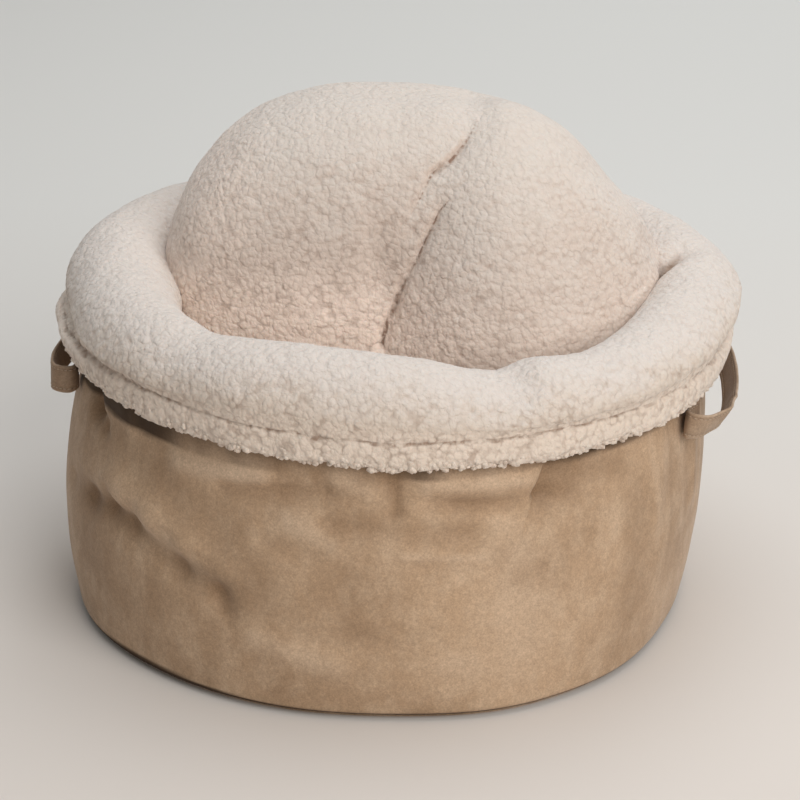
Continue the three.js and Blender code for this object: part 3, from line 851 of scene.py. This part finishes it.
def line_parts(p, rows):
    """For each part of a line seen from the front: squared distance to it, its width and its depth."""
    x, z = p[:, 0], p[:, 2]
    for (x1, z1, wide1, deep1), (x2, z2, wide2, deep2) in zip(rows, rows[1:]):
        dx, dz = x2 - x1, z2 - z1
        share = np.clip(((x - x1) * dx + (z - z1) * dz) / (dx * dx + dz * dz), 0, 1)
        away2 = (x - x1 - share * dx) ** 2 + (z - z1 - share * dz) ** 2
        yield away2, wide1 + (wide2 - wide1) * share, deep1 + (deep2 - deep1) * share


def valley_depth(p, lines):
    total = np.zeros(len(p))
    for rows in lines:
        line = np.zeros(len(p))
        for away2, wide, deep in line_parts(p, rows):
            line = np.maximum(line, deep * np.exp(-away2 / wide**2))
        total += line
    return total * (1 - smoothstep(p[:, 1], *VALLEY_BACK))


def crease_distance(p):
    """Distance to the nearest crease line seen from the front, more where the crease is shallow."""
    nearest = np.full(len(p), FAR)
    for rows in CREASES:
        for away2, _, deep in line_parts(p, rows):
            nearest = np.minimum(nearest, np.sqrt(away2) * CREASE_DEEP / np.maximum(deep, CREASE_LEAST))
    return np.where(p[:, 1] < VALLEY_BACK[0], nearest, FAR)


def cushion_distance(p):
    """About the distance to the cushion's face: three masses blended, creased and held inside the bed."""
    away = soft_min(mass_distance(LOBES[0], p), mass_distance(LOBES[1], p), LOBE_BLEND)
    away = soft_min(away, mass_distance(SEAT, p), SEAT_BLEND)
    away = away + valley_depth(p, VALLEYS + CREASES)
    for x, y, z, wide, deep in DENTS:
        away = away + deep * np.exp(-((p - [x, y, z]) ** 2).sum(1) / wide**2)
    limit = np.maximum(CUSHION_CLEAR - lining_distance(p), WALL_START - p[:, 2])
    return -soft_min(-away, -limit, PRESS_BLEND)


SLOPE_STEP = 0.5
LEAST_STEEP = 0.3
LONGEST_MOVE = 6.0


def cushion_normals(p):
    """Outward directions, and how steeply the distance grows along them."""
    steps = np.eye(3) * SLOPE_STEP
    rises = [cushion_distance(p + step) - cushion_distance(p - step) for step in steps]
    slope = np.stack(rises, axis=1) / (2 * SLOPE_STEP)
    steep = np.linalg.norm(slope, axis=1)
    return slope / np.maximum(steep, 1e-6)[:, None], steep


def onto_cushion(p, times):
    """Points moved onto the cushion's face, in several goes."""
    for _ in range(times):
        normal, steep = cushion_normals(p)
        move = cushion_distance(p) / np.maximum(steep, LEAST_STEEP)
        p = p - normal * np.clip(move, -LONGEST_MOVE, LONGEST_MOVE)[:, None]
    return p


CUSHION_AROUND = 120
CUSHION_ROWS = 70
RAY_STEP = 4
RAY_HALVINGS = 10
REMESH = 7.3


def cushion_start():
    """A coarse closed form: rays from the cushion's middle, cut where they leave it."""
    polar = np.linspace(0, 180, CUSHION_ROWS + 1)[1:-1]
    polar = np.repeat(polar, CUSHION_AROUND)
    azimuth = np.tile(np.arange(CUSHION_AROUND) * 360 / CUSHION_AROUND, CUSHION_ROWS - 1)
    polar = np.concatenate([polar, [0, 180]])
    azimuth = np.concatenate([azimuth, [0, 0]])
    climb = smoothstep(polar, HEARTS["rise"], HEARTS["fill"])[:, None]
    heart = np.array(HEARTS["low"]) + (np.array(HEARTS["high"]) - np.array(HEARTS["low"])) * climb
    a, b = np.radians(polar), np.radians(azimuth)
    way = np.stack([np.sin(a) * np.cos(b), np.sin(a) * np.sin(b), -np.cos(a)], axis=1)
    near = np.zeros(len(way))
    going = np.ones(len(way), bool)
    while going.any():
        going &= cushion_distance(heart + way * (near + RAY_STEP)[:, None]) < 0
        near = np.where(going, near + RAY_STEP, near)
    far = near + RAY_STEP
    for _ in range(RAY_HALVINGS):
        half = (near + far) / 2
        outside = cushion_distance(heart + way * half[:, None]) > 0
        far, near = np.where(outside, half, far), np.where(outside, near, half)
    points = heart + way * near[:, None]
    n = CUSHION_AROUND
    last = (CUSHION_ROWS - 2) * n
    faces = tube_faces(CUSHION_ROWS - 1, n)
    for i in range(n):
        k = (i + 1) % n
        faces.append((len(points) - 2, k, i))
        faces.append((last + i, last + k, len(points) - 1))
    return points, faces


def read_points(mesh):
    values = np.empty(len(mesh.vertices) * 3)
    mesh.vertices.foreach_get("co", values)
    return values.reshape(-1, 3) / MM


# The mesh is finer where the cushion shows: well off the lining, or above it
SHOWS_OFF = 16
SHOWS_FROM = 30
SHOWS_ABOVE = 268


def build_cushion():
    points, faces = cushion_start()
    piece = make("cushion_fleece", points, faces, cushion_fleece)
    remesh = piece.modifiers.new("even", "REMESH")
    remesh.mode = "VOXEL"
    remesh.voxel_size = REMESH * MM
    view = bpy.context.evaluated_depsgraph_get()
    even = bpy.data.meshes.new_from_object(piece.evaluated_get(view))
    piece.modifiers.clear()
    piece.data = even
    places = onto_cushion(read_points(even), 4)
    even.vertices.foreach_set("co", (places * MM).ravel())

    bm = bmesh.new()
    bm.from_mesh(even)
    bm.verts.ensure_lookup_table()
    shown = (lining_distance(places) > SHOWS_OFF) & (places[:, 2] > SHOWS_FROM)
    shown |= places[:, 2] > SHOWS_ABOVE
    edges = [e for e in bm.edges if shown[e.verts[0].index] and shown[e.verts[1].index]]
    bmesh.ops.subdivide_edges(bm, edges=edges, cuts=2, use_grid_fill=True)
    bmesh.ops.triangulate(bm, faces=[f for f in bm.faces if len(f.verts) > 4])
    mesh = bpy.data.meshes.new("cushion_fleece")
    bm.to_mesh(mesh)
    bm.free()
    places = onto_cushion(read_points(mesh), 3)
    faces = [tuple(f.vertices) for f in mesh.polygons]
    bpy.data.objects.remove(piece)

    # Pile and soft waves, flatter where the rim presses on them
    normal, _ = cushion_normals(places)
    near_rim = lining_distance(places)
    pressed = smoothstep(near_rim, 1, 12)
    loose = 2.0 * noise(places + 700, 62.0)[:, 0] + 1.0 * noise(places + 800, 31.0)[:, 1]
    height = (0.4 + 0.6 * pressed) * curls(places + 2000) + loose * pressed
    points = places + normal * height[:, None]

    # Painted shade at the rim and in the creases, and painted bounce light, paler and warmer, low down and
    # at the left
    seam = crease_distance(places)
    crevice = 0.05 * (1 - smoothstep(near_rim, 1, 6)) * (places[:, 2] > 230)
    crevice = crevice + 0.5 * (1 - smoothstep(seam, 0.7, 3.0))
    low = 1 - smoothstep(places[:, 2], 280, 365)
    glow = np.maximum(low, 0.5 * smoothstep(-places[:, 0], 95, 165))
    glow = glow * (1 - 0.8 * smoothstep(places[:, 0], 0, 90))
    return make("cushion_fleece", points, faces, cushion_fleece, seam=seam, crevice=crevice, glow=glow)


# Straps

# The straps' middle lines: azimuth, distance off the wall, height, and lean of the strap's width outwards
HANDLE_RIGHT = table(
    "az off z lean",
    [
        [338, 0, 210, 0],
        [334, 0, 210, 0],
        [331.2, 5, 213, -8],
        [331, 12, 212, -18],
        [333.2, 20, 210, -26],
        [339, 24, 209, -31],
        [347, 22, 206, -31],
        [356, 20.5, 206, -30],
        [364, 21.5, 207, -28],
        [370, 21, 208, -22],
        [373.5, 14, 210, -12],
        [374, 6, 211, -5],
        [371.5, 0, 212, 0],
        [367.5, 0, 212, 0],
    ],
)
HANDLE_LEFT = table(
    "az off z lean",
    [
        [187, 0, 222, 0],
        [190, 0, 222, 0],
        [191.5, 6, 221, 4],
        [190.5, 15, 220, 6],
        [188.6, 21.5, 220, 4],
        [185, 19.5, 220, -6],
        [178, 13.5, 219, -14],
        [169, 9, 218, -16],
        [161, 8, 218, -14],
        [154.5, 8, 220, -8],
        [152.5, 6, 220, -2],
        [155, 0, 220, 0],
        [159, 0, 220, 0],
    ],
)


def spline(values, t):
    """The smooth curve through a column, at shares t of the way."""
    count = len(values)
    at = t * (count - 1)
    k = np.minimum(np.floor(at).astype(int), count - 2)
    v0, v1 = values[np.maximum(k - 1, 0)], values[k]
    v2, v3 = values[k + 1], values[np.minimum(k + 2, count - 1)]
    return hermite(v1, v2, (v2 - v0) / 2, (v3 - v1) / 2, at - k)


STRAP_AHEAD = 0.01


def strap_frame(rows, t):
    """Middle points of a strap at shares t of the way, its width's direction and its face's."""

    def middle(share):
        az, z = spline(rows["az"], share), spline(rows["z"], share)
        off = np.maximum(spline(rows["off"], share), 0)
        reach = np.max([wall_radius(az, z + s * STRAP_WIDE) for s in (-0.5, 0, 0.5)], axis=0)
        return turned(az, reach + STRAP_SEAT + STRAP_THICK / 2 + off, z)

    centre = middle(t)
    ahead = middle(np.minimum(t + STRAP_AHEAD, 1)) - middle(np.maximum(t - STRAP_AHEAD, 0))
    ahead[:, 2] = 0
    ahead /= np.linalg.norm(ahead, axis=1, keepdims=True)
    outward = centre * [1, 1, 0]
    outward /= np.linalg.norm(outward, axis=1, keepdims=True)
    lean = np.radians(spline(rows["lean"], t))[:, None]
    across = np.cos(lean) * [0, 0, 1] - np.sin(lean) * outward
    normal = np.cross(across, ahead)
    normal /= np.linalg.norm(normal, axis=1, keepdims=True)
    face = np.stack([ahead[:, 1], -ahead[:, 0], np.zeros(len(t))], axis=1)
    normal *= np.sign((normal * face).sum(1, keepdims=True))
    return centre, across, normal


STRAP_RINGS = 151
# Half of a strap's section, as shares of its half width and its thickness
STRAP_HALF = table(
    "across thick",
    [[0, 1.05], [0.3, 1.02], [0.62, 0.92], [0.7, 0.62], [0.78, 0.9], [0.9, 0.95], [0.97, 0.62], [1, 0.2]],
)
# The stitches lie in a groove at this share of the half width
GROOVE = 0.7
GROOVE_WIDE = 0.06


def build_strap(name, rows):
    rings = STRAP_RINGS
    centre, across, normal = strap_frame(rows, np.linspace(0, 1, rings))
    half = STRAP_WIDE / 2
    places = np.concatenate([-STRAP_HALF["across"][:0:-1], STRAP_HALF["across"]])
    thick = np.concatenate([STRAP_HALF["thick"][:0:-1], STRAP_HALF["thick"]])
    u = np.concatenate([thick, -thick[::-1]]) * STRAP_THICK / 2
    v = np.concatenate([places, places[::-1]]) * half
    points = centre[:, None] + u[None, :, None] * normal[:, None] + v[None, :, None] * across[:, None]
    flat = points.reshape(-1, 3)
    flat = flat + 0.35 * noise(flat, 18.0)
    n = len(u)
    faces = tube_faces(rings, n)
    for start, flip in ((0, True), ((rings - 1) * n, False)):
        for j in range(len(places) - 1):
            quad = (start + j, start + j + 1, start + n - 2 - j, start + n - 1 - j)
            faces.append(quad if flip else quad[::-1])

    # Worn edges, and painted shade in the groove and on the inner face
    reach = np.abs(v) / half
    edge = smoothstep(reach, 0.86, 0.99)
    wear = 0.85 * np.tile(edge, rings) * (0.6 + 0.8 * noise(flat + 90, 9.0)[:, 0])
    groove = bell((reach - GROOVE) / GROOVE_WIDE)
    fold = np.clip(wear, 0, 1) - np.tile(0.5 * groove, rings) - np.tile(0.35 * (u < 0), rings)
    return make(name, flat, faces, strap_suede, fold=fold, under=0 * fold)


LINE_POINTS = 800
STITCH_PITCH = 4.2
STITCH_LONG = 3.1
STITCH_VARIES = 0.12
STITCH_EDGE = GROOVE
STITCH_RISE = 1.15
STITCH_RING = 6
# A stitch's rings: share of its length, radius, rise
STITCH_ROUND = ((0.0, 0.12, -0.15), (0.3, 0.42, 0.15), (0.7, 0.42, 0.15), (1.0, 0.12, -0.15))


def strap_parts(rows):
    """Shares of the way along a strap's middle line, and the lengths between them."""
    shares = np.linspace(0, 1, LINE_POINTS)
    return shares, np.linalg.norm(np.diff(strap_frame(rows, shares)[0], axis=0), axis=1)


def build_stitches(name, rows):
    """Topstitching along both edges of a strap, on both of its faces, as one joined mesh."""
    shares, parts = strap_parts(rows)
    along = np.concatenate([[0], np.cumsum(parts)])
    begins = np.arange(STITCH_PITCH, along[-1] - 2 * STITCH_PITCH, STITCH_PITCH)
    ring = np.radians(np.arange(STITCH_RING) * 360 / STITCH_RING)
    points, faces = [], []
    for edge in (-STITCH_EDGE, STITCH_EDGE):
        for side in (-1, 1):
            first = sum(len(p) for p in points)
            stations = []
            for share, radius, rise in STITCH_ROUND:
                at = begins + share * STITCH_LONG * (1 + STITCH_VARIES * rng.random(len(begins)))
                centre, across, normal = strap_frame(rows, np.interp(at, along, shares))
                middle = centre + side * (STITCH_RISE + rise) * normal + edge * STRAP_WIDE / 2 * across
                spoke = np.cos(ring)[:, None] * normal[:, None] + np.sin(ring)[:, None] * across[:, None]
                stations.append(middle[:, None] + radius * spoke)
            points.append(np.stack(stations, axis=1).reshape(-1, 3))
            for k in range(len(begins)):
                start = first + k * len(STITCH_ROUND) * STITCH_RING
                faces += tube_faces(len(STITCH_ROUND), STITCH_RING, start)
                faces.append(tuple(range(start, start + STITCH_RING))[::-1])
                last = start + (len(STITCH_ROUND) - 1) * STITCH_RING
                faces.append(tuple(range(last, last + STITCH_RING)))
    points = np.concatenate(points)
    nothing = np.zeros(len(points))
    return make(name, points, faces, thread, fold=nothing, under=nothing)


wall = build_wall()
cuff = build_cuff()
tufts = build_tufts()
cushion = build_cushion()
strap_right = build_strap("strap_right", HANDLE_RIGHT)
strap_left = build_strap("strap_left", HANDLE_LEFT)
stitches_right = build_stitches("stitches_right", HANDLE_RIGHT)
stitches_left = build_stitches("stitches_left", HANDLE_LEFT)
for piece, node, slot in (
    (wall, "side_wall", "suede"),
    (cuff, "fleece_cuff", "fleece"),
    (tufts, None, "fleece"),
    (cushion, "cushion", "cushion_fleece"),
    (strap_right, "handle_right", "strap_suede"),
    (strap_left, "handle_left", "strap_suede"),
    (stitches_right, None, "strap_suede"),
    (stitches_left, None, "strap_suede"),
):
    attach(piece, "root")
    if node:
        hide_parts(node)
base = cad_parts["base_panel"]
base.data.materials.clear()
base.data.materials.append(suede)

for strap, stitches, rows in (
    (strap_right, stitches_right, HANDLE_RIGHT),
    (strap_left, stitches_left, HANDLE_LEFT),
):
    flat = (STRAP_WIDE * MM, float(strap_parts(rows)[1].sum()) * MM)

# Floor, light and camera

FLOOR_HALF = 14000


def floor_material(near, far):
    """A plain floor whose tone changes slowly from front to back."""
    m = Nodes("floor")
    place = m.add("ShaderNodeSeparateXYZ")
    m.link(m.place, place.inputs[0])
    share = m.span(m.add_up(place.outputs["Y"], m.spots(900, 2.0), 0.2), -0.6, 1.2)
    m.link(m.mix(share, near, far), m.shader.inputs["Base Color"])
    m.set(Roughness=0.9, Specular_IOR_Level=0.1)
    return m.material


corners = [(x * FLOOR_HALF, y * FLOOR_HALF, 0) for x, y in ((-1, -1), (1, -1), (1, 1), (-1, 1))]
floor_surface = floor_material(near=(0.69, 0.64, 0.60), far=(0.725, 0.72, 0.70))
make("floor", corners, [(0, 1, 2, 3)], floor_surface)

scene = bpy.context.scene
scene.view_settings.view_transform = "Standard"
world = bpy.data.worlds.new("studio")
world.use_nodes = True
background = world.node_tree.nodes["Background"]
background.inputs["Color"].default_value = (1.0, 0.98, 0.945, 1)
background.inputs["Strength"].default_value = 0.30
scene.world = world


def area_light(name, place, target, size, power, colour):
    """A round soft light at a place, turned to its target; metres and watts."""
    light = bpy.data.lights.new(name, "AREA")
    light.shape = "DISK"
    light.size = size
    light.energy = power
    light.color = colour
    lamp = bpy.data.objects.new(name, light)
    lamp.location = place
    way = np.array(target) - np.array(place)
    side = math.atan2(way[1], way[0])
    lamp.rotation_euler = (math.acos(-way[2] / np.linalg.norm(way)), 0, side - math.pi / 2)
    scene.collection.objects.link(lamp)


area_light("key", (1.6, -2.65, 2.15), (0, 0, 0.2), size=2.8, power=82, colour=(1.0, 0.97, 0.935))
area_light("overhead", (0.4, 0.5, 3.1), (0.3, 0.3, 0), size=3.0, power=44, colour=(0.985, 0.99, 1.0))
area_light("backdrop", (1.2, 3.6, 2.4), (0.7, 3.4, 0), size=2.4, power=30, colour=(0.93, 0.98, 1.0))

# The focal length is in pixels of a square picture; the camera looks at a place above the origin
SENSOR = 36
PICTURE = 800
FOCAL_PIXELS = 2778.0
ELEVATION = math.radians(22.74)
DISTANCE = 2600.0
TARGET_X = 0.0078
TARGET_Z = 0.1755
camera = bpy.data.objects.new("camera", bpy.data.cameras.new("camera"))
camera.data.sensor_width = SENSOR
camera.data.lens = FOCAL_PIXELS * SENSOR / PICTURE
camera_back = DISTANCE * MM * math.cos(ELEVATION)
camera_up = DISTANCE * MM * math.sin(ELEVATION)
camera.location = (TARGET_X, -camera_back, TARGET_Z + camera_up)
camera.rotation_euler = (math.pi / 2 - ELEVATION, 0, 0)
camera.data.clip_start = 0.1
camera.data.clip_end = 60
scene.collection.objects.link(camera)
scene.camera = camera
